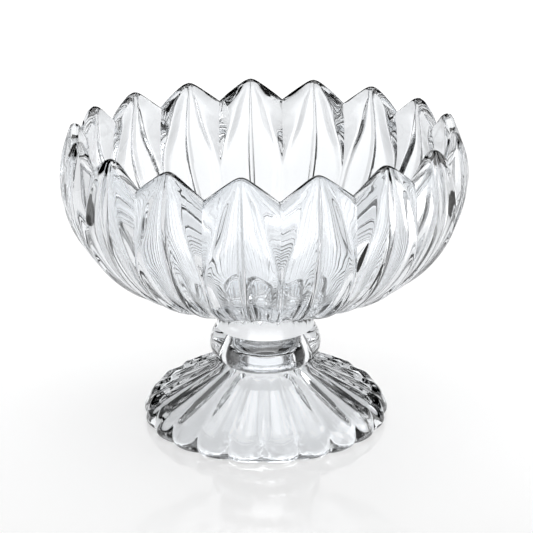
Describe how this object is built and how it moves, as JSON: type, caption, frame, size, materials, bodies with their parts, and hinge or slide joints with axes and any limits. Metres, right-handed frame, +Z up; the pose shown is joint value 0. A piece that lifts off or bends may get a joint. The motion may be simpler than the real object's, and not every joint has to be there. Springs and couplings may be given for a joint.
{
  "type": "floating candle bowl",
  "caption": "Footed clear glass bowl with pointed fluted petals round the rim, a round knop and a fluted scalloped foot, for floating candles on water.",
  "frame": {"origin": "middle of the foot's flat underside, on the table", "axes": "+Z up through the middle of the bowl, -Y towards the front, where one petal tip stands"},
  "size_m": [0.1906, 0.1898, 0.1458],
  "materials": {
    "bowl_glass": "clear colourless pressed glass, fire-polished",
    "knop_glass": "clear colourless pressed glass, fire-polished",
    "foot_glass": "clear colourless pressed glass, fire-polished"
  },
  "bodies": {
    "root": {"bowl": "bowl_glass", "knop": "knop_glass", "foot": "foot_glass"}
  },
  "joints": []
}
